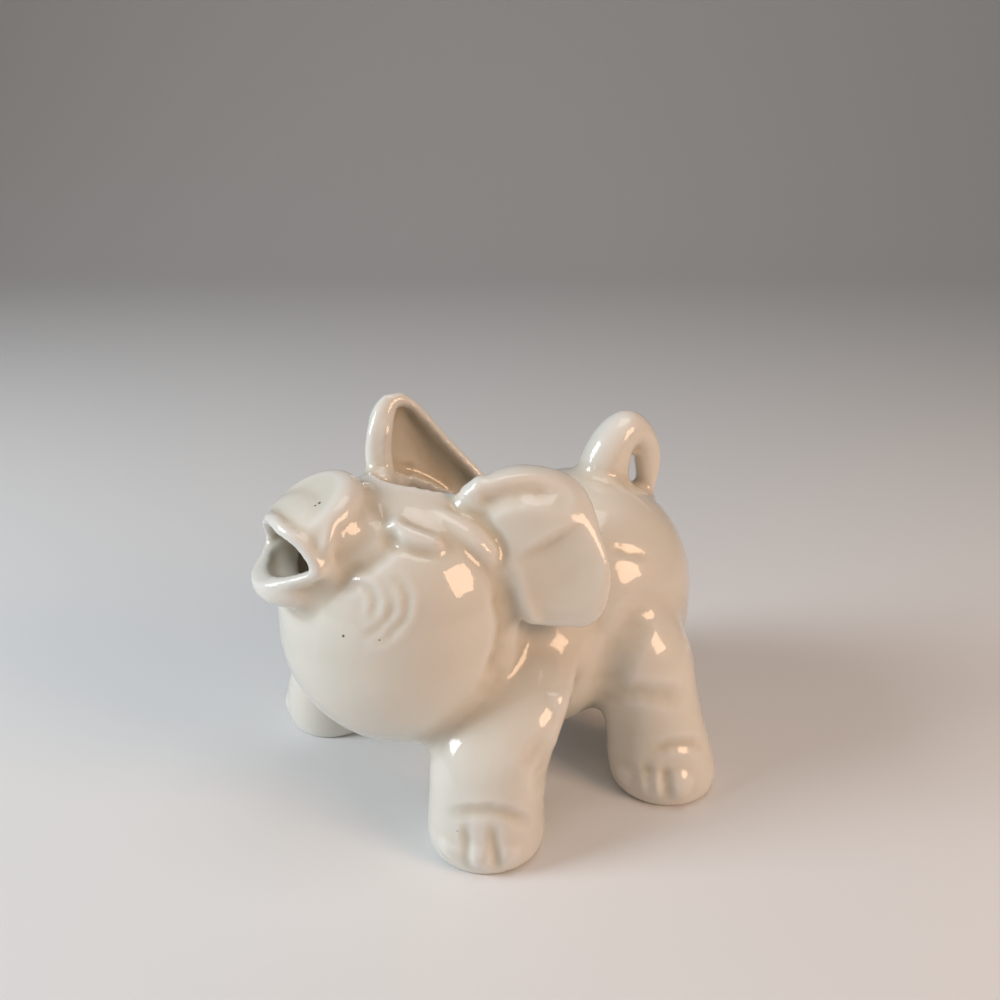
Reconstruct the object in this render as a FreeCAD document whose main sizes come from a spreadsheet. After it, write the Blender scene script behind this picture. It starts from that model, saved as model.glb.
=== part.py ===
"""Pig creamer: a small slip-cast pitcher in the form of a chubby pig that looks up.

The pot is filled between its ears and pours through its open mouth, and its
looped tail is the handle. Millimetres. The pig faces -Y, its left side is +X,
and it stands on the plane Z = 0. The origin lies midway between its feet.
"""
import FreeCAD, Part
import math
import os
import re

doc = FreeCAD.newDocument("pig_creamer")
sheet = doc.addObject("Spreadsheet::Sheet", "sizes")

# Every driving size, one row each: its name and its millimetres.
SIZES = (
    ("wall", 3.2),
    # Head: one tall ball that is chest and throat as well
    ("head_radius", 37.0),
    ("head_stretch", 3.5),
    ("head_forward", 34.5),
    ("head_height", 61.0),
    # Body: a round rump and a sagging belly
    ("rump_radius", 37.0),
    ("rump_stretch", 2.5),
    ("rump_back", 26.0),
    ("rump_height", 50.5),
    ("belly_radius", 35.5),
    ("belly_stretch", 2.5),
    ("belly_back", 4.0),
    ("belly_height", 46.0),
    # Filling mouth between the ears, from the head's middle
    ("fill_half_width", 16.0),
    ("fill_half_length", 19.0),
    ("fill_to_right", 4.0),
    ("fill_behind", 13.5),
    # Squinting eyelids, from the head's middle
    ("eyelid_stretch", 5.8),
    ("eyelid_radius", 3.2),
    ("eyelid_out", 20.6),
    ("eyelid_ahead", 6.9),
    ("eyelid_rise", 31.5),
    # Snout: muzzle block, round nose plate and pouring lip, from the head's middle
    ("muzzle_half_width", 16.5),
    ("muzzle_rise", 12.5),
    ("muzzle_tall", 30.0),
    ("muzzle_ahead", 41.0),
    ("muzzle_root_ahead", 7.5),
    ("nose_radius", 15.0),
    ("nose_depth", 18.0),
    ("nose_rounding", 5.0),
    ("nose_ahead", 28.7),
    ("nose_rise", 38.8),
    ("lip_radius", 13.8),
    ("lip_depth", 10.6),
    ("lip_rounding", 4.8),
    ("lip_ahead", 30.7),
    ("lip_rise", 17.6),
    # Pouring passage from the open mouth into the head, from the head's middle
    ("mouth_half_width", 11.4),
    ("mouth_to_left", 1.6),
    ("mouth_rise", 20.5),
    ("mouth_tall", 11.4),
    ("mouth_ahead", 49.5),
    ("throat_ahead", 7.5),
    # Front legs
    ("front_foot_out", 37.5),
    ("front_foot_forward", 29.5),
    ("right_foot_out", 45.0),
    ("right_foot_forward", 42.0),
    ("front_shoulder_out", 19.0),
    ("front_shoulder_forward", 3.0),
    ("front_leg_height", 60.0),
    # Rear legs
    ("rear_foot_out", 41.0),
    ("rear_foot_back", 32.5),
    ("rear_hip_out", 21.0),
    ("rear_hip_back", 24.0),
    ("rear_leg_height", 60.0),
    # Feet and toes
    ("foot_half_length", 16.0),
    ("foot_half_width", 16.8),
    ("toe_radius", 6.8),
    ("toe_stretch", 1.2),
    # Ears, from the head's middle: the left one flops over, the right one stands up
    ("ear_thickness", 5.0),
    ("left_ear_half_width", 16.5),
    ("left_ear_dish", 1.6),
    ("left_ear_crown", 4.5),
    ("left_ear_spread", 21.0),
    ("left_ear_root_out", 18.0),
    ("left_ear_root_behind", 26.0),
    ("left_ear_root_rise", 16.5),
    ("left_ear_fold_rise", 42.5),
    ("left_ear_hem_rise", 1.5),
    ("right_ear_half_width", 18.0),
    ("right_ear_dish", 10.0),
    ("right_ear_lean", 8.0),
    ("right_ear_height", 34.0),
    ("right_ear_root_out", 15.0),
    ("right_ear_root_behind", 16.5),
    ("right_ear_root_rise", 23.0),
    # Tail handle, from the rump's middle
    ("tail_root_radius", 7.6),
    ("tail_span", 17.5),
    ("tail_loop_height", 16.5),
    ("tail_behind", 10.0),
    ("tail_rise", 34.5),
)

for row, (alias, number) in enumerate(SIZES, 1):
    sheet.set(f"A{row}", alias)
    sheet.set(f"B{row}", str(number))
    sheet.setAlias(f"B{row}", alias)
doc.recompute()


def mm(alias):
    """The number that the sheet holds under this name."""
    return float(sheet.get(alias))


def bind(thing, path, formula):
    """Tie one property to a formula in the sheet's names."""
    thing.setExpression(path, re.sub(r"\b([a-z]+(?:_[a-z]+)+|wall)\b", r"sizes.\1", formula))


def place(thing, x="", y="", z=""):
    """Tie the place of a shape to the sheet, axis by axis."""
    for axis, formula in zip("xyz", (x, y, z)):
        if formula:
            bind(thing, f".Placement.Base.{axis}", formula)
    return thing


def ball(name, radius, stretch, centre, axis, side):
    """A round-ended ball, longer each way than wide by its stretch, turned from its half
    outline. The seam of the turned skin lies on the given side."""
    outline = []
    for way in (1, -1):
        hub = centre + axis * stretch * way
        outline.append(Part.Arc(hub + axis * radius * way,
                                hub + (axis * way + side).normalize() * radius,
                                hub + side * radius))
    upper, lower = outline
    edges = [upper.toShape(), lower.toShape(), Part.LineSegment(upper.EndPoint, lower.EndPoint).toShape(),
             Part.LineSegment(upper.StartPoint, lower.StartPoint).toShape()]
    profile = doc.addObject("Part::Feature", f"{name}_profile")
    profile.Shape = Part.Face(Part.Wire(Part.__sortEdges__(edges)))
    turned = doc.addObject("Part::Revolution", name)
    turned.Source = profile
    turned.Base, turned.Axis = centre, axis
    turned.Solid = True
    return turned


def fuse(name, first, *others):
    """Several shapes joined into one, two at a time."""
    joined = first
    for number, other in enumerate(others, 1):
        both = doc.addObject("Part::Fuse", name if number == len(others) else f"{name}_{number}")
        both.Base, both.Tool = joined, other
        both.Refine = False
        joined = both
    return joined


def cut(name, base, *tools):
    """One shape less others, one at a time."""
    left = base
    for number, tool in enumerate(tools, 1):
        less = doc.addObject("Part::Cut", name if number == len(tools) else f"{name}_{number}")
        less.Base, less.Tool = left, tool
        less.Refine = False
        left = less
    return left


def curve_through(points, knots=None, closed=True):
    """A smooth curve through points, its knots spread by distance or as given."""
    curve = Part.BSplineCurve()
    if knots:
        curve.interpolate(Points=points, PeriodicFlag=closed, Parameters=knots)
    else:
        curve.interpolate(Points=points, PeriodicFlag=closed)
    return curve


def closed_curve(name, points, knots=None):
    """A feature that holds one closed smooth curve."""
    feature = doc.addObject("Part::Feature", name)
    feature.Shape = Part.Wire([curve_through(points, knots).toShape()])
    return feature


def ring(name, centre, across, along, bluntness=1.0, count=12):
    """A closed curve on two half axes: an ellipse, or blunter towards a rectangle."""
    points = []
    for step in range(count):
        angle = 2 * math.pi * step / count
        side, end = math.cos(angle), math.sin(angle)
        side = math.copysign(abs(side) ** bluntness, side)
        end = math.copysign(abs(end) ** bluntness, end)
        points.append(centre + across * side + along * end)
    return closed_curve(name, points, [step / count for step in range(count + 1)])


def loft(name, sections):
    """A solid skinned smoothly over closed curves."""
    skin = doc.addObject("Part::Loft", name)
    skin.Sections = sections
    skin.Solid = True
    return skin


def ways_along(line):
    """The direction of a bent line at each of its points."""
    last = len(line) - 1
    return [(line[min(number + 1, last)] - line[max(number - 1, 0)]).normalize()
            for number in range(last + 1)]


# Head ball and body balls, outside and inside.
UPRIGHT, LENGTHWISE = FreeCAD.Vector(0, 0, 1), FreeCAD.Vector(0, 1, 0)
head_middle = FreeCAD.Vector(0, -mm("head_forward"), mm("head_height"))
rump_middle = FreeCAD.Vector(0, mm("rump_back"), mm("rump_height"))
BALLS = {"head": (head_middle, UPRIGHT, LENGTHWISE),
         "rump": (rump_middle, UPRIGHT, -LENGTHWISE),
         "belly": (FreeCAD.Vector(0, mm("belly_back"), mm("belly_height")), LENGTHWISE, UPRIGHT)}
outside, inside = {}, {}
for word, (centre, axis, side) in BALLS.items():
    radius, stretch = mm(f"{word}_radius"), mm(f"{word}_stretch")
    outside[word] = ball(f"{word}_outside", radius, stretch, centre, axis, side)
    inside[word] = ball(f"{word}_inside", radius - mm("wall"), stretch, centre, axis, side)
head_outside, head_inside = outside["head"], inside["head"]
body_outside = fuse("body_outside", outside["rump"], outside["belly"])
body_inside = fuse("body_inside", inside["rump"], inside["belly"])
skin = fuse("skin", head_outside, body_outside)

# The filling mouth is an oval cut straight down through the crown of the head.
fill_rings = []
for number, rise in enumerate((0, mm("head_radius") + mm("head_stretch"))):
    fill_rings.append(ring(f"fill_ring_{number}",
                           head_middle + FreeCAD.Vector(-mm("fill_to_right"), mm("fill_behind"), rise),
                           FreeCAD.Vector(mm("fill_half_width"), 0, 0),
                           FreeCAD.Vector(0, mm("fill_half_length"), 0)))
fill_cut = loft("fill_cut", fill_rings)

# The pouring passage: rounded triangles from the open mouth to inside the head.
# Each row is a share of the way back, then of the mouth's width, low edge and height.
passage_shares = ((0.0, 1.0, 0.0, 1.0), (0.3, 0.95, -0.05, 1.1), (0.6, 0.95, -0.2, 1.4),
                  (1.0, 0.95, -0.3, 1.5))
triangle_shares = ((0.0, 1.0), (0.42, 0.86), (0.8, 0.6), (1.0, 0.32), (0.75, 0.08), (0.0, -0.06),
                   (-0.75, 0.05), (-1.0, 0.26), (-0.8, 0.56), (-0.42, 0.84))
passage_length = mm("mouth_ahead") - mm("throat_ahead")
passage_rings = []
for number, (back, wide, low, tall) in enumerate(passage_shares):
    y = head_middle.y - mm("mouth_ahead") + back * passage_length
    base = head_middle.z + mm("mouth_rise") + low * mm("mouth_tall")
    passage_rings.append(closed_curve(f"passage_ring_{number}", [
        FreeCAD.Vector(mm("mouth_to_left") + side * wide * mm("mouth_half_width"), y,
                       base + up * tall * mm("mouth_tall"))
        for side, up in triangle_shares]))
passage = loft("passage", passage_rings)

# Head shell: the ball with squinting eyelids, hollow and open at crown, mouth and neck.
out_share, back_share, down_share = 0.64, 0.7, 0.31
eyelids = []
for side in (1, -1):
    along = FreeCAD.Vector(side * out_share, back_share, -down_share).normalize()
    centre = head_middle + FreeCAD.Vector(side * mm("eyelid_out"), -mm("eyelid_ahead"),
                                          mm("eyelid_rise"))
    inward = FreeCAD.Vector(-along.y, along.x, 0).normalize() * side
    eyelids.append(ball(f"eyelid_{'left' if side > 0 else 'right'}", mm("eyelid_radius"),
                        mm("eyelid_stretch"), centre, along, inward))
head_form = fuse("head_form", head_outside, *eyelids)
head_shell = cut("head_shell", head_form, head_inside, fill_cut, passage, body_inside)

# Body shell: everything of the body balls that the head ball leaves free.
body_shell = cut("body_shell", body_outside, body_inside, head_outside)

# Snout: a blunt muzzle that ends in a round plate above and the open mouth below.
# Each row is a share of the way forward, then of the half width, low edge and top edge.
muzzle_shares = ((0.0, 1.05, 0.02, 0.88), (0.25, 1.05, 0.0, 0.88), (0.45, 1.01, 0.0, 0.92),
                 (0.65, 0.98, 0.02, 0.9), (0.8, 0.87, 0.05, 0.82), (0.92, 0.64, 0.1, 0.68),
                 (1.0, 0.34, 0.17, 0.46))
muzzle_rings = []
for number, (front, wide, low, top) in enumerate(muzzle_shares):
    ahead = mm("muzzle_root_ahead") + front * (mm("muzzle_ahead") - mm("muzzle_root_ahead"))
    centre = head_middle + FreeCAD.Vector(0, -ahead,
                                          mm("muzzle_rise") + mm("muzzle_tall") * (low + top) / 2)
    muzzle_rings.append(ring(f"muzzle_ring_{number}", centre,
                             FreeCAD.Vector(mm("muzzle_half_width") * wide, 0, 0),
                             FreeCAD.Vector(0, 0, mm("muzzle_tall") * (top - low) / 2),
                             bluntness=0.72, count=16))
muzzle = loft("muzzle", muzzle_rings)
lip_disc = doc.addObject("Part::Cylinder", "lip_disc")
bind(lip_disc, "Radius", "lip_radius")
bind(lip_disc, "Height", "lip_depth")
place(lip_disc, y="-head_forward - lip_ahead", z="head_height + lip_rise - lip_depth / 2")
nose_tilt = math.radians(30.0)
nose_disc = doc.addObject("Part::Cylinder", "nose_disc")
bind(nose_disc, "Radius", "nose_radius")
bind(nose_disc, "Height", "nose_depth")
nose_disc.Placement.Rotation = FreeCAD.Rotation(FreeCAD.Vector(1, 0, 0), math.degrees(nose_tilt))
place(nose_disc, y=f"-head_forward - nose_ahead + nose_depth * {math.sin(nose_tilt)}",
      z=f"head_height + nose_rise - nose_depth * {math.cos(nose_tilt)}")
doc.recompute()


def rounded(name, disc, radius, lowest):
    """A disc with its closed rims above a height rounded over."""
    round_disc = doc.addObject("Part::Fillet", name)
    round_disc.Base = disc
    rims = [number for number, edge in enumerate(disc.Shape.Edges, 1)
            if edge.Closed and edge.BoundBox.Center.z > lowest]
    round_disc.Edges = [(number, radius, radius) for number in rims]
    return round_disc


nose = rounded("nose", nose_disc, mm("nose_rounding"), nose_disc.Shape.BoundBox.Center.z)
lip = rounded("lip", lip_disc, mm("lip_rounding"), 0)
snout_form = fuse("snout_form", muzzle, nose, lip)
snout_spout = cut("snout_spout", snout_form, head_outside, passage)

# Legs: horizontal rings from the sole up into the body. Each row is a share of the leg's
# height, of its lean from foot to hip, and of the foot's half length and half width.
front_leg_shares = ((0.0, 0.0, 0.92, 0.92), (0.12, 0.0, 1.0, 1.0), (0.25, 0.01, 0.95, 0.98),
                    (0.4, 0.06, 0.92, 1.0), (0.58, 0.24, 0.95, 1.08), (0.78, 0.64, 0.93, 1.1),
                    (1.0, 1.0, 0.7, 0.8))
rear_leg_shares = ((0.0, 0.0, 0.92, 0.92), (0.12, 0.03, 0.98, 1.0), (0.3, 0.15, 0.86, 0.94),
                   (0.5, 0.35, 0.88, 0.97), (0.75, 0.66, 1.05, 1.12), (1.0, 1.0, 0.8, 0.9))
toe_reach_share = 0.88
toe_spread = 0.62


def leg(name, side, foot, hip, height, turn, shares):
    """One leg with three toes, seated on the skin of head and body."""
    turn *= side
    forward = FreeCAD.Vector(math.sin(turn), -math.cos(turn), 0)
    sideways = FreeCAD.Vector(math.cos(turn), math.sin(turn), 0) * side
    rings = []
    for number, (rise, lean, long, wide) in enumerate(shares):
        centre = foot + (hip - foot) * lean
        centre.z = rise * height
        rings.append(ring(f"{name}_ring_{number}", centre,
                          sideways * mm("foot_half_width") * wide,
                          forward * mm("foot_half_length") * long))
    column = loft(f"{name}_column", rings)
    toes = []
    reach = mm("foot_half_length") - (mm("toe_radius") + mm("toe_stretch")) * toe_reach_share
    for number in (-1, 0, 1):
        way = turn + number * toe_spread
        outward = FreeCAD.Vector(math.sin(way), -math.cos(way), 0)
        centre = foot + outward * reach + UPRIGHT * mm("toe_radius")
        toes.append(ball(f"{name}_toe_{number + 1}", mm("toe_radius"), mm("toe_stretch"),
                         centre, outward, UPRIGHT))
    return cut(name, fuse(f"{name}_form", column, *toes), skin)


front_turn, rear_turn = math.radians(50), math.radians(36)
front_shoulder = FreeCAD.Vector(mm("front_shoulder_out"), -mm("front_shoulder_forward"), 0)
rear_hip = FreeCAD.Vector(mm("rear_hip_out"), mm("rear_hip_back"), 0)
rear_foot = FreeCAD.Vector(mm("rear_foot_out"), mm("rear_foot_back"), 0)
front_feet = {"left": FreeCAD.Vector(mm("front_foot_out"), -mm("front_foot_forward"), 0),
              "right": FreeCAD.Vector(mm("right_foot_out"), -mm("right_foot_forward"), 0)}


def mirrored(point, side):
    """The point, or its image on the pig's right side."""
    return FreeCAD.Vector(side * point.x, point.y, point.z)


legs = []
for side, word in ((1, "left"), (-1, "right")):
    legs.append(leg(f"front_{word}_leg", side, mirrored(front_feet[word], side),
                    mirrored(front_shoulder, side), mm("front_leg_height"),
                    front_turn, front_leg_shares))
    legs.append(leg(f"rear_{word}_leg", side, mirrored(rear_foot, side), mirrored(rear_hip, side),
                    mm("rear_leg_height"), rear_turn, rear_leg_shares))


def slab_shape(rings):
    """A solid skinned over closed rings of points that turn too sharply for a loft."""
    count = len(rings[0])
    even = [step / count for step in range(count + 1)]
    curves = [curve_through(points, even) for points in rings]
    along = [0.0]
    for near, far in zip(rings, rings[1:]):
        along.append(along[-1] + sum((a - b).Length for a, b in zip(near, far)))
    along = [length / along[-1] for length in along]
    rows = [curve_through(list(column), along, closed=False)
            for column in zip(*(curve.getPoles() for curve in curves))]
    surface = Part.BSplineSurface()
    surface.buildFromPolesMultsKnots(
        [row.getPoles() for row in rows], curves[0].getMultiplicities(),
        rows[0].getMultiplicities(), curves[0].getKnots(), rows[0].getKnots(), True, False, 3, 3)
    ends = [Part.Face(Part.Wire([curve.toShape()])) for curve in (curves[0], curves[-1])]
    shell = Part.Shell([surface.toShape()] + ends)
    shell.sewShape()
    solid = Part.Solid(shell)
    if solid.Volume < 0:
        solid.reverse()
    return solid


blunt_share = 0.8


def slab(name, root, spread, rise, half_width, dish, shares, bend=2.0, crown=0.0, count=20):
    """Clay laid along a bent line, with blunt edges. Each row is a share of the ear's spread,
    half width and rise for the line, then the outward and upward slope of the clay from its
    front edge to its rear edge, shares of half width, dish and thickness, and a share of the
    crown, by which the edges lie lower than the middle."""
    line = [root + FreeCAD.Vector(row[0] * spread, row[1] * half_width, row[2] * rise)
            for row in shares]
    rings = []
    for centre, row, way in zip(line, shares, ways_along(line)):
        across = FreeCAD.Vector(row[3], 1, row[4]).normalize()
        normal = across.cross(way).normalize()
        points = []
        for step in range(count):
            angle = 2 * math.pi * step / count
            side, face = math.cos(angle), math.sin(angle)
            side = math.copysign(abs(side) ** blunt_share, side)
            face = math.copysign(abs(face) ** blunt_share, face)
            bow = row[6] * dish * (1 - abs(side) ** bend)
            thick = row[7] * mm("ear_thickness") / 2 * face
            points.append(centre + across * row[5] * half_width * side
                          + normal * (bow + thick + row[8] * crown * side * side))
        rings.append(points)
    feature = doc.addObject("Part::Feature", name)
    feature.Shape = slab_shape(rings)
    return feature


# The left ear is an upright root on the crown and a flap that hangs from its top.
left_ear_shares = ((-0.05, -0.03, 0.02, 0.0, -0.05, 0.9, 0.0, 0.9, 1.0),
                   (0.17, -0.03, 0.0, 0.0, -0.02, 0.96, 0.0, 1.0, 0.9),
                   (0.46, 0.0, 0.17, 0.24, 0.2, 0.98, -1.0, 1.0, 0.5),
                   (0.72, 0.08, 0.44, 0.4, 0.25, 0.94, -1.0, 1.0, 0.1),
                   (0.92, 0.11, 0.72, 0.5, 0.14, 0.92, 0.0, 1.0, 0.0),
                   (0.97, 0.08, 0.88, 0.56, -0.05, 0.74, 0.3, 0.9, 0.0),
                   (0.97, 0.04, 0.96, 0.58, -0.1, 0.46, 0.3, 0.5, 0.0))
left_ear_flap = slab("left_ear_flap",
                     head_middle + FreeCAD.Vector(mm("left_ear_root_out"), mm("left_ear_root_behind"),
                                                  mm("left_ear_fold_rise")),
                     mm("left_ear_spread"), mm("left_ear_hem_rise") - mm("left_ear_fold_rise"),
                     mm("left_ear_half_width"), mm("left_ear_dish"), left_ear_shares,
                     crown=mm("left_ear_crown"))
left_root_shares = ((0.0, 0.0, 0.0, 0.2, 0.0, 0.92, 0.0, 1.5, 0.0),
                    (0.0, 0.0, 0.35, 0.2, 0.0, 0.95, 0.0, 1.5, 0.0),
                    (0.0, 0.0, 0.62, 0.15, 0.0, 0.92, 0.0, 1.35, 0.0),
                    (0.0, 0.0, 0.84, 0.1, 0.0, 0.76, 0.0, 1.15, 0.0),
                    (0.0, 0.0, 1.0, 0.1, 0.0, 0.45, 0.0, 0.6, 0.0))
left_ear_root = slab("left_ear_root",
                     head_middle + FreeCAD.Vector(mm("left_ear_root_out"), mm("left_ear_root_behind"),
                                                  mm("left_ear_root_rise")),
                     mm("left_ear_spread"), mm("left_ear_fold_rise") - mm("left_ear_root_rise"),
                     mm("left_ear_half_width"), 0, left_root_shares)
left_ear_form = fuse("left_ear_form", left_ear_flap, left_ear_root)
left_ear = cut("left_ear", left_ear_form, head_outside, body_outside)

# The right ear stands up like a scoop that opens towards the filling mouth.
right_ear_shares = ((0.0, 0.1, 0.0, 0.0, 0.0, 1.08, -1.0, 1.0, 0.0),
                    (0.3, -0.04, 0.21, 0.0, 0.0, 0.94, -1.0, 1.0, 0.0),
                    (0.55, -0.2, 0.41, 0.0, 0.0, 0.78, -0.9, 1.0, 0.0),
                    (0.76, -0.32, 0.62, 0.0, 0.0, 0.62, -0.7, 1.0, 0.0),
                    (0.92, -0.39, 0.8, 0.0, 0.0, 0.48, -0.45, 0.95, 0.0),
                    (0.98, -0.4, 0.93, 0.0, 0.0, 0.32, -0.2, 0.8, 0.0),
                    (1.0, -0.4, 1.0, 0.0, 0.0, 0.16, 0.0, 0.5, 0.0))
right_ear_scoop = slab("right_ear_scoop",
                       head_middle + FreeCAD.Vector(-mm("right_ear_root_out"),
                                                    mm("right_ear_root_behind"),
                                                    mm("right_ear_root_rise")),
                       -mm("right_ear_lean"), mm("right_ear_height"), mm("right_ear_half_width"),
                       mm("right_ear_dish"), right_ear_shares, bend=3.4)
right_ear = cut("right_ear", right_ear_scoop, head_outside, body_outside)

# Tail handle: rings round a bent line. Each row is a share of the span and of the rise,
# then of the root's radius.
tail_shares = ((-0.02, -0.6, 1.05), (-0.02, 0.1, 1.05), (0.14, 0.72, 0.95), (0.5, 1.0, 0.84),
               (0.86, 0.72, 0.64), (1.02, 0.05, 0.51), (1.02, -0.8, 0.53))
tail_line = [rump_middle + FreeCAD.Vector(0, mm("tail_behind") + back * mm("tail_span"),
                                          mm("tail_rise") + up * mm("tail_loop_height"))
             for back, up, _ in tail_shares]
tail_rings = []
for number, ((_, _, stout), way) in enumerate(zip(tail_shares, ways_along(tail_line))):
    sideways = FreeCAD.Vector(1, 0, 0)
    radius = mm("tail_root_radius") * stout
    tail_rings.append(ring(f"tail_ring_{number}", tail_line[number], sideways * radius,
                           sideways.cross(way) * radius))
tail_handle = cut("tail_handle", loft("tail_loop", tail_rings), head_outside, body_outside)

# The pieces move together so that the middle of their outline lies over the origin.
pieces = [head_shell, body_shell, snout_spout, left_ear, right_ear, tail_handle] + legs
doc.recompute()
outline = Part.Compound([piece.Shape for piece in pieces]).optimalBoundingBox(False)
for piece in pieces:
    piece.Placement.Base = FreeCAD.Vector(-outline.Center.x, -outline.Center.y, 0)
doc.recompute()
print("moved by", -outline.Center.x, -outline.Center.y)
for thing in doc.Objects:
    if "Invalid" in thing.State or "Error" in thing.State:
        raise SystemExit(f"{thing.Label} failed: {thing.State}")
os.makedirs("parts", exist_ok=True)
for piece in pieces:
    if piece.Shape.isNull() or not piece.Shape.isValid() or not piece.Shape.Solids:
        raise SystemExit(f"{piece.Label} is not a valid solid")
    print(piece.Label, len(piece.Shape.Solids), "solids", round(piece.Shape.Volume), "mm3")
    piece.Shape.exportStep(f"parts/{piece.Label}.step")
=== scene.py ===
"""A small glazed pitcher in the form of a chubby pig that looks up, on a pale table."""
import math

import bmesh
import bpy
import numpy as np
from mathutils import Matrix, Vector, kdtree
from mathutils.bvhtree import BVHTree


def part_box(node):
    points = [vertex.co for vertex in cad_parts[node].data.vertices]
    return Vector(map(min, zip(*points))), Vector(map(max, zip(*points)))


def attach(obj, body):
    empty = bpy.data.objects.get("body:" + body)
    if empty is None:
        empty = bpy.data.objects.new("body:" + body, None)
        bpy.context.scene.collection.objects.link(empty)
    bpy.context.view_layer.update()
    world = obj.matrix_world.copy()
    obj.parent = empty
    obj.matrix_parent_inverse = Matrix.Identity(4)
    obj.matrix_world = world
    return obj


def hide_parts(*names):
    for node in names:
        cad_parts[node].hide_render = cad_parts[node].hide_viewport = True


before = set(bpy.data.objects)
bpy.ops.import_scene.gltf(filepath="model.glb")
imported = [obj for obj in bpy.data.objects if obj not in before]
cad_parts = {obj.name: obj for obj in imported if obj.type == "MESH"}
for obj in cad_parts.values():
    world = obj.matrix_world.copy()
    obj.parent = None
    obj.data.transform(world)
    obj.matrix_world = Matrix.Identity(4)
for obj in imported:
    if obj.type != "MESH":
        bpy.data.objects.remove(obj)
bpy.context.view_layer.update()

# Head shell
# A hollow ball of cast earthenware, open at the crown for filling. The closed eyes,
# the temples and the laughter lines are modelled and tooled into it while it is damp.
# All work on the clay is in the pig's own millimetres: front -Y, its left +X.
laid_on = []  # the rolls of clay, each a line of points with a radius
tooled = []  # the tooled lines, with the half width and the lift of each


def both_sides(line):
    """The line, and its image on the pig's right side."""
    return [line, [(-x, *rest) for x, *rest in line]]


def lay(points, radii, both=True):
    """A roll of clay laid on along a bent line, with its radius at each point."""
    line = [(x, y, z, radius) for (x, y, z), radius in zip(points, radii)]
    rolls = both_sides(line) if both else [line]
    laid_on.extend(rolls)
    return rolls


def tool(points, half_width, lift, both=True):
    """A line pressed in (lift below zero) or pushed out, with soft sides and soft ends."""
    for line in (both_sides(points) if both else [points]):
        tooled.append((line, half_width, lift))


temples = lay([(13.8, -34.4, 95.2), (19.6, -30.4, 91.6), (24.6, -25.4, 87.4), (27.4, -21.8, 83.4)],
              radii=[3.2, 4.6, 5.0, 4.4])
lids = lay([(17.6, -45.2, 92.9), (21.0, -41.6, 91.4), (24.6, -37.6, 89.7)], radii=[3.3, 4.0, 3.3])
tool([(17.2, -44.6, 96.6), (20.7, -40.4, 95.4), (24.2, -37.2, 93.4), (27.2, -34.0, 90.6)],
     half_width=2.6, lift=-0.9)
tool([(19.0, -49.0, 92.6), (22.6, -46.0, 90.8), (26.2, -42.0, 89.9), (28.2, -37.0, 88.8)],
     half_width=2.6, lift=-0.6)
tool([(18.6, -23.6, 95.0), (25.6, -21.6, 92.4), (29.6, -19.6, 87.8), (30.4, -20.8, 82.6)],
     half_width=2.6, lift=-0.9)
for fold in ([(26.9, -49.7, 84.8), (29.4, -48.4, 82.0), (31.0, -48.5, 79.0), (31.7, -50.1, 75.2),
              (30.9, -53.6, 71.4), (29.3, -56.6, 68.9)],
             [(21.0, -60.1, 80.8), (22.3, -57.6, 82.8), (24.9, -55.9, 81.5), (26.7, -55.8, 78.8),
              (27.2, -57.0, 75.3)]):
    tool(fold, half_width=4.2, lift=0.7)
    tool(fold, half_width=1.9, lift=-1.1)
tool([(29.2, -51.6, 79.4), (29.8, -53.1, 76.0), (28.8, -56.3, 72.4), (27.1, -58.9, 70.5)],
     half_width=1.9, lift=-0.6)
tool([(31.1, -21.9, 81.2), (32.8, -20.9, 76.4), (34.6, -20.4, 68.0), (35.2, -21.6, 61.0),
      (35.8, -23.9, 55.8), (36.0, -27.0, 51.0)], half_width=6.0, lift=-2.2)

# Snout spout
# A cast tube with a flat nose plate above and a three-cornered pouring mouth below.
# The mouth is cut by hand through the front and its rim is rounded with a finger.
mouth_edge = [(5.5, -72.6, 94.2), (8.5, -71.6, 93.7), (10.8, -70.3, 92.6), (12.6, -69.3, 90.8),
              (14.0, -68.6, 88.7), (14.8, -68.0, 86.6), (11.5, -71.0, 84.6), (8.0, -73.3, 83.0),
              (4.5, -74.9, 82.0), (1.0, -75.7, 81.3), (-3.0, -75.2, 81.5), (-6.5, -73.3, 82.3),
              (-9.0, -71.5, 83.6), (-11.0, -69.6, 85.1), (-10.6, -69.4, 87.6), (-9.0, -70.0, 90.2),
              (-6.0, -71.2, 92.3), (-2.0, -72.3, 93.9), (2.0, -72.8, 94.6)]
RIM = 1.9  # radius of the rolled rim
RIM_SETBACK = 0.9  # how far its middle lies behind the edge of the mouth
hole = Vector(np.mean(mouth_edge, axis=0))
rim_line = []
for corner in mouth_edge:
    out = Vector(corner) - hole
    rim_line.append(tuple(hole + out * (1 + RIM / out.length) + Vector((0, RIM_SETBACK, 0))))
lay(rim_line + rim_line[:1], radii=[RIM] * (len(rim_line) + 1), both=False)
lay([(13.2, -61.0, 97.2), (14.4, -63.0, 93.6), (15.0, -64.2, 89.8), (15.4, -63.4, 86.0),
     (15.0, -62.4, 81.0)], radii=[1.8, 2.2, 2.4, 2.4, 2.0], both=False)
lay([(-11.5, -63.0, 96.0), (-12.6, -65.0, 91.5), (-12.8, -66.0, 87.0), (-12.4, -67.0, 83.0),
     (-9.5, -71.0, 80.0)], radii=[2.0, 2.4, 2.6, 2.6, 2.2], both=False)
tool([(7.9, -47.1, 99.3), (14.0, -47.1, 97.1), (18.6, -47.6, 94.6), (21.1, -48.4, 91.5),
      (21.5, -51.5, 89.2), (20.9, -54.7, 87.2), (19.6, -57.9, 85.5), (19.2, -60.7, 82.3)],
     half_width=3.6, lift=-1.1)

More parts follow.
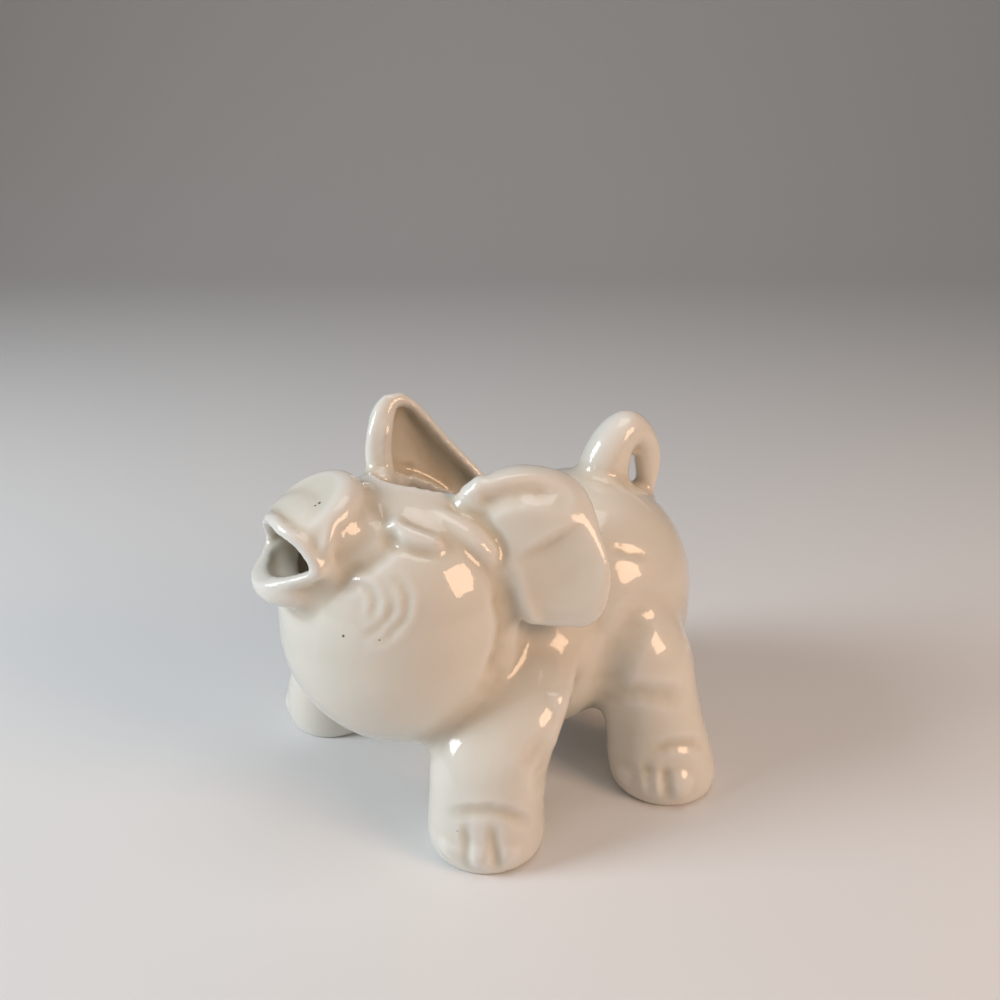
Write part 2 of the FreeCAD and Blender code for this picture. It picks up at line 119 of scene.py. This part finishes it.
# Left ear
# A slab of clay folded over at the crown, so that it hangs beside the cheek. The
# fold makes a round roll with a hollow under it, and the lower lobe stands out.
lay([(15.5, -23.4, 95.6), (17.6, -22.6, 98.2), (19.6, -19.8, 101.4)],
    radii=[3.2, 3.6, 3.4], both=False)
lay([(19.0, -24.4, 93.6), (21.4, -23.8, 92.4)], radii=[2.6, 2.4], both=False)
lay([(29.8, -16.2, 84.0), (31.2, -16.8, 79.5), (32.6, -16.8, 75.0), (33.8, -16.2, 70.8),
     (35.0, -12.6, 67.6)], radii=[3.0, 3.6, 3.8, 3.6, 3.0], both=False)
lay([(39.4, -3.0, 67.4), (40.4, 2.4, 68.2), (40.8, 6.0, 70.2), (40.4, 5.4, 76.0)],
    radii=[2.5, 2.4, 2.0, 1.8], both=False)
tool([(21.5, -22.6, 96.2), (25.4, -22.0, 98.8), (26.1, -17.6, 100.6), (27.6, -12.5, 101.2),
      (29.4, -6.9, 101.0), (31.6, -3.3, 99.4)], half_width=5.0, lift=-1.9, both=False)
tool([(36.0, -9.0, 91.0), (39.5, -5.0, 81.0)], half_width=12.0, lift=-1.6, both=False)

# Right ear
# A scoop of clay that stands up beside the filling mouth. Its front edge is thick and
# rolled, its rear edge thin, and both run up to a rounded point.
for back in (0.0, 2.2):
    lay([(-16.4, -34.4 + back, 88.0), (-18.2 + back / 2, -34.0 + back, 95.0),
         (-19.8 + back / 2, -33.8 + back, 102.0), (-21.0 + back / 2, -32.4 + back, 108.5),
         (-22.2, -29.8 + back, 113.0), (-22.8, -25.6, 115.8)],
        radii=[3.0, 3.0, 2.8, 2.6, 2.2, 1.9], both=False)
lay([(-22.8, -25.6, 116.0), (-22.6, -20.6, 114.6), (-21.8, -15.6, 109.0), (-20.6, -11.0, 102.8),
     (-19.0, -6.4, 97.0), (-17.0, -1.6, 91.0), (-14.8, 1.6, 86.0)],
    radii=[1.9, 1.7, 1.7, 1.7, 1.7, 1.8, 2.0], both=False)

# Legs
# Four short solid legs, splayed outwards. Two pressed lines part the toes of each
# foot, and creases mark the ankles and the knees of the rear legs.
FRONT_FEET = {1: (37.5, -29.5), -1: (45.0, -42.0)}  # middle of the foot, left and right
for side, (foot_x, foot_y) in FRONT_FEET.items():
    for points, half_width, lift in (
            ([(4.2, -13.8, 18.2), (8.1, -11.3, 19.8), (10.9, -8.2, 20.8), (13.0, -4.7, 20.9),
              (14.5, -0.9, 19.3), (14.9, 3.7, 14.9)], 2.6, -0.9),
            ([(8.3, -11.1, 17.0), (9.6, -11.6, 12.0), (10.6, -11.9, 7.0), (11.1, -11.6, 3.0)],
             2.4, -0.9),
            ([(13.2, -5.6, 17.0), (14.0, -5.6, 12.0), (14.6, -5.4, 7.0), (14.6, -5.2, 3.0)],
             2.4, -0.9),
            ([(5.6, -12.6, 10.0), (6.4, -12.8, 6.0)], 5.0, 0.5),
            ([(12.2, -8.8, 11.0), (12.8, -8.8, 6.0)], 4.4, 0.5),
            ([(11.4, 6.6, 36.6), (11.8, 11.4, 31.5), (11.8, 11.2, 25.6)], 7.0, -1.6)):
        tool([(side * (x + foot_x), y + foot_y, z) for x, y, z in points],
             half_width, lift, both=False)
tool([(42.6, -8.2, 46.2), (43.8, -9.4, 43.0)], half_width=5.0, lift=1.2)
lay([(24.0, -40.5, 33.0), (27.5, -40.5, 31.5)], radii=[3.0, 3.0])
tool([(36.3, 14.3, 33.7), (42, 17.2, 36.6), (45.6, 21.8, 36.7), (48.1, 30.9, 34)],
     half_width=4.5, lift=-1.1)
tool([(47.6, 21.5, 18.3), (50.7, 26.5, 19.8), (52.1, 31.2, 19.2), (52.2, 36.8, 17.2)],
     half_width=2.8, lift=-0.9)
tool([(48.2, 20.2, 14.4), (49.8, 19.5, 10.0), (51.4, 19.3, 5.0)], half_width=2.5, lift=-0.8)
tool([(51.6, 24.4, 14.4), (52.6, 24, 10.0), (54.5, 23.7, 5.0)], half_width=2.5, lift=-0.8)
tool([(35.7, 24.6, 62.2), (37.8, 19.4, 54.7), (38.1, 14.1, 46.4), (35.3, 13.1, 35)],
     half_width=7.0, lift=-1.2)

# Tail handle
# A tapered roll of clay bent into a loop and luted to the rump at both ends. The
# slip that was wiped round its root leaves a low line.
lay([(0, 42.0, 94.6), (0, 45.0, 97.0), (0, 48.0, 95.6)], radii=[3.6, 3.8, 3.2], both=False)
tool([(6, 30.2, 91.2), (10.6, 34.6, 87.5), (15.5, 38.8, 84), (18.3, 40.7, 81.6)],
     half_width=1.8, lift=0.35, both=False)
tool([(27.0, 18.5, 77.5), (28.9, 23.0, 75.6), (30.8, 30.0, 73.0)],
     half_width=2.6, lift=-0.5, both=False)

# Luting
# The ten pieces are joined with slip, and the joints are filled and sponged smooth
# while the clay is damp, so that one unbroken skin runs over all of them.
GRAIN = 0.75  # size of the cells that the skin is remade from
BEAD_STEP = 1.0  # from one ball of a roll to the next
RUMP_BEHIND = 0.063  # metres from the pig's own zero back to the end of the rump
middle = Vector(((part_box("head_shell")[0].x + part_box("head_shell")[1].x) / 2,
                 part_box("body_shell")[1].y - RUMP_BEHIND, 0))
names = list(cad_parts)


def smooth_line(points, step):
    """Points along a smooth curve through the given ones, about a step apart."""
    points = [np.array(point, float) for point in points]
    first, last = 2 * points[0] - points[1], 2 * points[-1] - points[-2]
    chain = [first] + points + [last]
    line = []
    for a, b, c, d in zip(chain, chain[1:], chain[2:], chain[3:]):
        count = max(1, round(np.linalg.norm((c - b)[:3]) / step))
        for share in np.arange(count) / count:
            line.append(0.5 * (2 * b + (c - a) * share + (2 * a - 5 * b + 4 * c - d) * share ** 2
                               + (3 * b - a - 3 * c + d) * share ** 3))
    return line + [points[-1]]


round_form = bmesh.new()
bmesh.ops.create_icosphere(round_form, subdivisions=3, radius=1.0)
round_points = np.array([point.co for point in round_form.verts])
round_faces = np.array([[point.index for point in face.verts] for face in round_form.faces])
round_form.free()


def beads(form, line, more=0.0):
    """Overlapping balls along a roll, each a little fatter than given if asked."""
    points, faces = [], []
    for number, (*centre, radius) in enumerate(smooth_line(line, BEAD_STEP)):
        points.append((round_points * (radius + more) + np.array(centre)) / 1000 + np.array(middle))
        faces.append(round_faces + number * len(round_points))
    roll = bpy.data.meshes.new("roll")
    roll.from_pydata(np.concatenate(points).tolist(), [], np.concatenate(faces).tolist())
    form.from_mesh(roll)


def solid(name, form):
    """An object made from a bmesh, which is used up."""
    thing = bpy.data.objects.new(name, bpy.data.meshes.new(name))
    form.to_mesh(thing.data)
    form.free()
    bpy.context.scene.collection.objects.link(thing)
    return thing


def apply(thing):
    """Works an object's modifiers into its mesh and removes them."""
    graph = bpy.context.evaluated_depsgraph_get()
    mesh = bpy.data.meshes.new_from_object(thing.evaluated_get(graph))
    thing.modifiers.clear()
    thing.data = mesh


def one_skin(thing, grain):
    """The outside of everything in an object, remade as one closed skin."""
    remesh = thing.modifiers.new("one_skin", "REMESH")
    remesh.mode = "VOXEL"
    remesh.voxel_size = grain / 1000
    apply(thing)


def combine(thing, other, operation):
    """A boolean of two closed skins, written to the first one."""
    boolean = thing.modifiers.new("combine", "BOOLEAN")
    boolean.solver = "MANIFOLD"
    boolean.operation = operation
    boolean.object = other
    apply(thing)


def read(mesh, what="co"):
    """The places, in the pig's millimetres, or the normals of a mesh's points."""
    flat = np.empty(len(mesh.vertices) * 3)
    mesh.vertices.foreach_get(what, flat)
    rows = flat.reshape(-1, 3)
    return (rows - np.array(middle)) * 1000 if what == "co" else rows


def write(mesh, places):
    """Puts the places, in the pig's millimetres, back into a mesh."""
    mesh.vertices.foreach_set("co", (places / 1000 + np.array(middle)).ravel())
    mesh.update()


joined = bmesh.new()
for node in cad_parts.values():
    joined.from_mesh(node.data)
bmesh.ops.remove_doubles(joined, verts=joined.verts, dist=1e-6)
for line in laid_on:
    beads(joined, line)
clay = solid("clay", joined)
one_skin(clay, GRAIN)

# The mouth is cut out with a three-cornered plug that tapers and rises inwards.
PLUG_RINGS = ((-8.0, 1.5), (0.0, 1.0), (3.0, 0.93), (12.0, 0.86))  # how far back, how wide
PLUG_SLOPE = 0.12
plug_form = bmesh.new()
mouth_curve = [Vector(point) for point in smooth_line(mouth_edge + mouth_edge[:1], 1.5)[:-1]]
rings = []
for back, wide in PLUG_RINGS:
    inwards = Vector((0, back, PLUG_SLOPE * back))
    rings.append([plug_form.verts.new((hole + (point - hole) * wide + inwards) / 1000 + middle)
                  for point in mouth_curve])
for row, after in zip(rings, rings[1:]):
    for number in range(len(row)):
        following = (number + 1) % len(row)
        plug_form.faces.new((row[number], row[following], after[following], after[number]))
plug_form.faces.new(rings[0])
plug_form.faces.new(rings[-1][::-1])
bmesh.ops.recalc_face_normals(plug_form, faces=plug_form.faces)
bmesh.ops.triangulate(plug_form, faces=plug_form.faces)
plug = solid("plug", plug_form)
combine(clay, plug, "DIFFERENCE")
one_skin(clay, GRAIN)
bpy.data.objects.remove(plug)


def islands(form):
    """The separate shells of a bmesh, each as a list of points, largest first."""
    unseen = set(form.verts)
    found = []
    while unseen:
        island = [unseen.pop()]
        for point in island:
            for edge in point.link_edges:
                other = edge.other_vert(point)
                if other in unseen:
                    unseen.remove(other)
                    island.append(other)
        found.append(island)
    return sorted(found, key=len, reverse=True)


skin = bmesh.new()
skin.from_mesh(clay.data)
for island in islands(skin)[1:]:
    bmesh.ops.delete(skin, geom=island, context="VERTS")
skin.to_mesh(clay.data)
skin.free()

# How near each point is to a joint between two pieces, and how widely that joint is sponged.
FAR, NEAR = 99.0, 8  # points further than NEAR from a piece's box aren't measured
REACH = {"snout_spout": 3.2, "left_ear": 4.0, "right_ear": 3.6, "tail_handle": 3.5}
LEG_REACH, NECK_REACH = 7.0, 4.0
places = read(clay.data)
gaps = np.full((len(places), len(names)), FAR)
for column, name in enumerate(names):
    copy = bmesh.new()
    copy.from_mesh(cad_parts[name].data)
    surface = BVHTree.FromBMesh(copy)
    copy.free()
    low, high = [(np.array(corner) - np.array(middle)) * 1000 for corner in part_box(name)]
    for number in np.flatnonzero(np.all((places > low - NEAR) & (places < high + NEAR), axis=1)):
        gaps[number, column] = surface.find_nearest(clay.data.vertices[number].co)[3] * 1000
order = np.argsort(gaps, axis=1)
to_joint = np.take_along_axis(gaps, order[:, 1:2], axis=1)[:, 0]
reaches = np.array([REACH.get(name, LEG_REACH) for name in names])
reach = np.minimum(reaches[order[:, 0]], reaches[order[:, 1]])
shells = [names.index("head_shell"), names.index("body_shell")]
reach[np.isin(order[:, 0], shells) & np.isin(order[:, 1], shells)] = NECK_REACH


def neighbours(mesh):
    """Both ends of every edge, each way round, and how many edges each point has."""
    pairs = np.empty(len(mesh.edges) * 2, int)
    mesh.edges.foreach_get("vertices", pairs)
    pairs = pairs.reshape(-1, 2)
    starts, ends = np.concatenate([pairs, pairs[:, ::-1]]).T
    return starts, ends, np.bincount(starts, minlength=len(mesh.vertices))


def drawn(places, links, amount):
    """The places, each drawn towards the middle of its neighbours."""
    starts, ends, counts = links
    mean = np.stack([np.bincount(starts, places[ends, axis], len(places)) / counts
                     for axis in range(3)], axis=1)
    return places + np.reshape(amount, (-1, 1)) * (mean - places)


# The grain is smoothed away, the joints are sponged, and the left ear's face with them.
GRAIN_TURNS, SPONGE_TURNS, LAST_TURNS = 24, 100, 8
IN, OUT = 0.5, -0.51  # a turn that draws in, and one that lets out again
EAR_FACE = (((36.0, -12.0, 77.0), 13.0, 0.35), ((30.0, -14.0, 90.0), 9.0, 0.3))
links = neighbours(clay.data)
for turn in range(GRAIN_TURNS):
    places = drawn(places, links, IN)
    places = drawn(places, links, OUT)
sponged = np.clip(1.0 - to_joint / reach, 0, 1) ** 0.8
for centre, radius, firmness in EAR_FACE:
    spread = np.linalg.norm(places - np.array(centre), axis=1) / radius
    sponged = np.maximum(sponged, firmness * np.clip(2 - 2 * spread, 0, 1))
for turn in range(SPONGE_TURNS):
    places = drawn(places, links, IN * sponged)
for turn in range(LAST_TURNS):
    places = drawn(places, links, IN)
    places = drawn(places, links, -IN)
write(clay.data, places)

# The tooled lines, pressed into the skin along its own normals. A line fades out towards
# both ends, and it leaves alone the skin behind it, which faces another way.
normals = read(clay.data, "normal")
points_tree = kdtree.KDTree(len(places))
for number, place in enumerate(places):
    points_tree.insert(place, number)
points_tree.balance()
moves = np.zeros(len(places))
for line, half_width, lift in tooled:
    near, share = {}, {}
    path = smooth_line(line, half_width / 4)
    for step, spot in enumerate(path):
        spot, seat, _ = points_tree.find(spot)
        for place, number, gap in points_tree.find_range(spot, half_width):
            if gap < near.get(number, half_width) and normals[number] @ normals[seat] > 0.2:
                near[number], share[number] = gap, step / len(path)
    for number, gap in near.items():
        end = min(1.0, 4 * share[number] + 0.15, 4 * (1 - share[number]) + 0.15)
        moves[number] += lift * end * (1 - (gap / half_width) ** 2) ** 2
places += normals * moves[:, None]
worked = np.clip(np.abs(moves) * 4, 0, 1)
for turn in range(LAST_TURNS):
    places = drawn(places, links, 0.4 * worked)
write(clay.data, places)

# How hollow the skin is at each point: below zero on crests, above zero in creases.
FLOW_TURNS = 40
DEEP = 0.45  # a hollow this deep counts as a full one
flowed = places
for turn in range(FLOW_TURNS):
    flowed = drawn(flowed, links, IN)
hollow = np.clip(np.sum((flowed - places) * read(clay.data, "normal"), axis=1) / DEEP, -1, 1)

# Pieces
# The skin is parted into the ten pieces again along the shells that they sit on, and
# each piece is closed where it was luted, so that every one of them is a solid.
SKIN_OUT = 0.7  # the cut runs this far outside the balls that the shells are cast on
BALLS = {"head": [((0, -34.5, 61.0), 37.0 + SKIN_OUT, 3.5, 2)],  # centre, radius, stretch, axis
         "body": [((0, 26.0, 50.5), 37.0 + SKIN_OUT, 2.5, 2),
                  ((0, 4.0, 46.0), 35.5 + SKIN_OUT, 2.5, 1)]}
ROLL_OUT = 1.0  # and this far outside the rolls of the temples and eyelids
CORE_GRAIN = 1.0
SPLINTER = 12  # a loose bit with fewer points than this is cleared away
LIMBS = {"snout_spout": ((-25, -95, 60), (25, -44, 115)),
         "left_ear": ((3, -32, 61), (60, 18, 125)),
         "right_ear": ((-40, -44, 80), (-3, 12, 125)),
         "tail_handle": ((-20, 25, 75), (20, 75, 115)),
         "front_left_leg": ((12, -64, -5), (65, 8, 61)),
         "front_right_leg": ((-65, -64, -5), (-12, 8, 61)),
         "rear_left_leg": ((12, 8, -5), (65, 65, 61)),
         "rear_right_leg": ((-65, 8, -5), (-12, 65, 61))}
clay.data.materials.clear()
for name in ("skin", "joint"):
    clay.data.materials.append(bpy.data.materials.new(name))
cores = {}
for word, balls in BALLS.items():
    form = bmesh.new()
    for centre, radius, stretch, along in balls:
        ball = bmesh.ops.create_icosphere(form, subdivisions=5, radius=radius / 1000)
        for point in ball["verts"]:
            point.co[along] += math.copysign(stretch, point.co[along]) / 1000
        bmesh.ops.translate(form, verts=ball["verts"], vec=Vector(centre) / 1000 + middle)
    if word == "head":
        for line in temples + lids:
            beads(form, line, more=ROLL_OUT)
    cores[word] = solid(f"{word}_core", form)
    one_skin(cores[word], CORE_GRAIN)


def joint_faces(thing):
    """Marks all faces of a cutter, so that the faces that it cuts are known later."""
    thing.data.materials.clear()
    for name in ("skin", "joint"):
        thing.data.materials.append(bpy.data.materials[name])
    thing.data.polygons.foreach_set("material_index", [1] * len(thing.data.polygons))


def twin(thing, name):
    """A copy of an object with a mesh of its own."""
    copy = bpy.data.objects.new(name, thing.data.copy())
    bpy.context.scene.collection.objects.link(copy)
    return copy


rest = twin(clay, "rest")
pieces = {}
for name, (low, high) in LIMBS.items():
    form = bmesh.new()
    block = bmesh.ops.create_cube(form, size=1)
    low, high = Vector(low), Vector(high)
    for point in block["verts"]:
        corner = Vector([(a + b) / 2 + (b - a) * c for a, b, c in zip(low, high, point.co)])
        point.co = corner / 1000 + middle
    cutter = solid("cutter", form)
    for core in cores.values():
        combine(cutter, core, "DIFFERENCE")
    joint_faces(cutter)
    pieces[name] = twin(clay, name)
    combine(pieces[name], cutter, "INTERSECT")
    combine(rest, cutter, "DIFFERENCE")
    bpy.data.objects.remove(cutter)
joint_faces(cores["head"])
pieces["head_shell"] = twin(rest, "head_shell")
pieces["body_shell"] = rest
combine(pieces["head_shell"], cores["head"], "INTERSECT")
combine(rest, cores["head"], "DIFFERENCE")
rest.name = "body_shell"

# Splinters that a cut leaves are cleared away, and larger crumbs stay in their piece.
forms = {}
for name, piece in pieces.items():
    forms[name] = bmesh.new()
    forms[name].from_mesh(piece.data)
    splinters = [point for island in islands(forms[name])[1:] if len(island) < SPLINTER
                 for point in island]
    bmesh.ops.delete(forms[name], geom=splinters, context="VERTS")

# Glaze
# A clear lead glaze over ivory clay. It pools a little darker in the creases, where the darker
# colour is also painted shade, thins to white on the crests, waves gently and holds a few iron
# specks and pinholes, whose dark colour is painted shade in the pits.
IVORY, COOL_IVORY = (0.78, 0.725, 0.62, 1), (0.74, 0.70, 0.61, 1)
# The crease colour is partly pooled glaze and partly painted shade.
POOLED_AND_SHADED, THINNED = (0.58, 0.50, 0.37, 1), (0.85, 0.82, 0.76, 1)
# The pinhole colour is painted shade, the darkness inside each small pit.
IRON, PINHOLE_SHADE = (0.13, 0.09, 0.06, 1), (0.08, 0.06, 0.05, 1)
PINHOLES = (((6.4, -61.4, 100.9), 0.55), ((6.4, -62.6, 100.4), 0.4), ((22.5, -63.4, 69.6), 0.5),
            ((29.4, -56.3, 69.7), 0.3))  # place and radius
glaze = bpy.data.materials.new("ivory_glaze")
glaze.use_nodes = True
nodes, wires = glaze.node_tree.nodes, glaze.node_tree.links
shader = nodes["Principled BSDF"]


def node(kind, **values):
    """A node whose inputs are set, or wired where a socket is given."""
    made = nodes.new(f"ShaderNode{kind}")
    for key, value in values.items():
        if isinstance(value, bpy.types.NodeSocket):
            wires.new(value, made.inputs[key])
        else:
            made.inputs[key].default_value = value
    return made


def mixed(share, first, second):
    """One colour turned into another by a share."""
    mix = nodes.new("ShaderNodeMix")
    mix.data_type = "RGBA"
    for socket, value in zip((mix.inputs[0], mix.inputs[6], mix.inputs[7]), (share, first, second)):
        if isinstance(value, bpy.types.NodeSocket):
            wires.new(value, socket)
        else:
            socket.default_value = value
    return mix.outputs[2]


def ranged(value, low, high, to_low=0.0, to_high=1.0):
    """A value taken from one range to another and kept in it."""
    scale = nodes.new("ShaderNodeMapRange")
    wires.new(value, scale.inputs[0])
    for number, limit in enumerate((low, high, to_low, to_high), 1):
        scale.inputs[number].default_value = limit
    return scale.outputs[0]


where = nodes.new("ShaderNodeTexCoord").outputs["Object"]
depth = nodes.new("ShaderNodeAttribute")
depth.attribute_name = "hollow"
depth = depth.outputs["Fac"]
cloud = node("TexNoise", Scale=28.0, Detail=3.0, Vector=where).outputs["Fac"]
colour = mixed(ranged(cloud, 0.35, 0.65), IVORY, COOL_IVORY)
# Creases darken towards the pooled colour: partly real glaze pooling, partly painted shade.
colour = mixed(ranged(depth, 0.05, 0.9, 0.0, 0.75), colour, POOLED_AND_SHADED)
colour = mixed(ranged(depth, -0.05, -0.7, 0.0, 0.7), colour, THINNED)
cells = node("TexVoronoi", Scale=190.0, Vector=where)
rare = nodes.new("ShaderNodeSeparateColor")
wires.new(cells.outputs["Color"], rare.inputs[0])
speck = nodes.new("ShaderNodeMath")
speck.operation = "MULTIPLY"
wires.new(ranged(cells.outputs["Distance"], 0.045, 0.02), speck.inputs[0])
wires.new(ranged(rare.outputs[0], 0.82, 0.84), speck.inputs[1])
colour = mixed(speck.outputs[0], colour, IRON)
# Each pinhole is painted near black, as the shade in its pit.
for place, radius in PINHOLES:
    apart = nodes.new("ShaderNodeVectorMath")
    apart.operation = "DISTANCE"
    wires.new(where, apart.inputs[0])
    apart.inputs[1].default_value = Vector(place) / 1000 + middle
    inside = ranged(apart.outputs["Value"], radius / 1000, radius / 2000)
    colour = mixed(inside, colour, PINHOLE_SHADE)
wires.new(colour, shader.inputs["Base Color"])

# The clay's own soft shine lies under the clear coat, which gives the sharp reflections.
shader.inputs["Roughness"].default_value = 0.4
shader.inputs["Specular IOR Level"].default_value = 0.35
shader.inputs["Coat Weight"].default_value = 1.0
ripple = node("TexNoise", Scale=70.0, Detail=2.0, Vector=where).outputs["Fac"]
wires.new(ranged(ripple, 0.3, 0.7, 0.03, 0.08), shader.inputs["Coat Roughness"])
WAVE_HEIGHT, GRIT_HEIGHT = 0.00035, 0.00002  # in metres
wave = node("Bump", Strength=1.0, Distance=WAVE_HEIGHT, Height=ripple)
grain = node("TexNoise", Scale=900.0, Detail=2.0, Vector=where).outputs["Fac"]
grit = node("Bump", Strength=1.0, Distance=GRIT_HEIGHT, Height=grain,
            Normal=wave.outputs["Normal"])
wires.new(grit.outputs["Normal"], shader.inputs["Normal"])
wires.new(grit.outputs["Normal"], shader.inputs["Coat Normal"])

# Every piece gets the glaze, and the same shading on both sides of each parting: along a
# cut its normals are those of the whole skin, weighted by how near the skin's points are.
whole = bmesh.new()
whole.from_mesh(clay.data)
whole.faces.ensure_lookup_table()
skin_tree = BVHTree.FromBMesh(whole)
points_tree = kdtree.KDTree(len(clay.data.vertices))
for number, point in enumerate(clay.data.vertices):
    points_tree.insert(point.co, number)
points_tree.balance()
AS_IT_IS = (0, 0, 0)  # leaves a corner's normal to the mesh
for name, piece in pieces.items():
    form = forms[name]
    for edge in form.edges:
        kinds = [face.material_index for face in edge.link_faces]
        if len(kinds) == 2 and kinds[0] != kinds[1]:
            edge.smooth = False
    on_cut = {}
    for number, point in enumerate(form.verts):
        point.index = number
        kinds = {face.material_index for face in point.link_faces}
        if len(kinds) == 2:
            spot, _, face, _ = skin_tree.find_nearest(point.co)
            normal = Vector()
            for corner in whole.faces[face].verts:
                normal += corner.normal / ((corner.co - spot).length + 1e-6)
            on_cut[number] = normal.normalized()
    normals = []
    for face in form.faces:
        face.smooth = face.material_index == 0
        for corner in face.verts:
            normals.append(on_cut.get(corner.index, AS_IT_IS) if face.smooth else AS_IT_IS)
        face.material_index = 0
    form.to_mesh(piece.data)
    form.free()
    piece.data.materials.clear()
    piece.data.materials.append(glaze)
    piece.data.normals_split_custom_set(normals)
    hollows = piece.data.attributes.new("hollow", "FLOAT", "POINT")
    nearest = [points_tree.find(point.co)[1] for point in piece.data.vertices]
    hollows.data.foreach_set("value", hollow[nearest])
    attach(piece, "root")
    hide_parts(name)
whole.free()
for thing in [clay, *cores.values()]:
    bpy.data.objects.remove(thing)

# Table
# A pale table top that curves up into a pale wall far behind, with no edge between.
FRONT, FLAT, BEND, HIGH, HALF_WIDE, STEPS = -2.5, 0.9, 0.8, 3.0, 3.0, 16
sweep = bmesh.new()
profile = [(FRONT, 0.0), (FLAT, 0.0)]
for step in range(1, STEPS + 1):
    angle = math.pi / 2 * step / STEPS
    profile.append((FLAT + BEND * math.sin(angle), BEND - BEND * math.cos(angle)))
profile.append((FLAT + BEND, HIGH))
away, aside = Vector((-0.857, 0.515, 0)), Vector((0.515, 0.857, 0))
left, right = [[sweep.verts.new(away * far + aside * wide + Vector((0, 0, high)))
                for far, high in profile] for wide in (-HALF_WIDE, HALF_WIDE)]
for number in range(len(profile) - 1):
    sweep.faces.new((left[number], left[number + 1], right[number + 1], right[number]))
for face in sweep.faces:
    face.smooth = True
floor = solid("table_top", sweep)
table = bpy.data.materials.new("table")
table.use_nodes = True
paint = table.node_tree.nodes["Principled BSDF"]
paint.inputs["Base Color"].default_value = (0.78, 0.78, 0.78, 1)
paint.inputs["Roughness"].default_value = 0.6
floor.data.materials.append(table)


# Lamps
# A tall cool window before the pig's face, a warm lamp behind its left side, and a soft
# light above. The rest of the room is a faint warm grey.
AIM = (0, 0, 0.05)


def lamp(name, place, size, power, colour):
    """A rectangular lamp, turned to the middle of the pig."""
    light = bpy.data.lights.new(name, "AREA")
    light.shape = "RECTANGLE"
    light.size, light.size_y = size
    light.energy = power
    light.color = colour
    thing = bpy.data.objects.new(name, light)
    thing.location = place
    thing.rotation_euler = (Vector(AIM) - Vector(place)).to_track_quat("-Z", "Y").to_euler()
    bpy.context.scene.collection.objects.link(thing)


lamp("window", (-0.25, -0.75, 0.50), size=(0.35, 0.5), power=6.2, colour=(0.86, 0.94, 1.0))
lamp("overhead", (0.1, 0.1, 0.8), size=(0.4, 0.4), power=1.0, colour=(1.0, 1.0, 1.0))
lamp("warm_side", (0.60, 0.30, 0.38), size=(0.28, 0.28), power=2.3, colour=(1.0, 0.64, 0.42))
world = bpy.data.worlds.new("room")
world.use_nodes = True
room = world.node_tree.nodes["Background"]
room.inputs["Color"].default_value = (0.88, 0.82, 0.78, 1)
room.inputs["Strength"].default_value = 0.2
bpy.context.scene.world = world
bpy.context.scene.view_settings.view_transform = "Standard"

# Camera
# It stands where the photo was taken from, at the pig's front left, and looks down by 22
# degrees through a lens as wide as the photo's.
CAMERA_PLACE = (0.24155, -0.1381, 0.200)
CAMERA_LOOK = (-0.795, 0.4775, -0.3746)
camera = bpy.data.objects.new("camera", bpy.data.cameras.new("camera"))
camera.data.sensor_width = 36.0
camera.data.lens = 36.1
camera.data.clip_start = 0.01
camera.location = CAMERA_PLACE
camera.rotation_euler = Vector(CAMERA_LOOK).to_track_quat("-Z", "Y").to_euler()
bpy.context.scene.collection.objects.link(camera)
bpy.context.scene.camera = camera
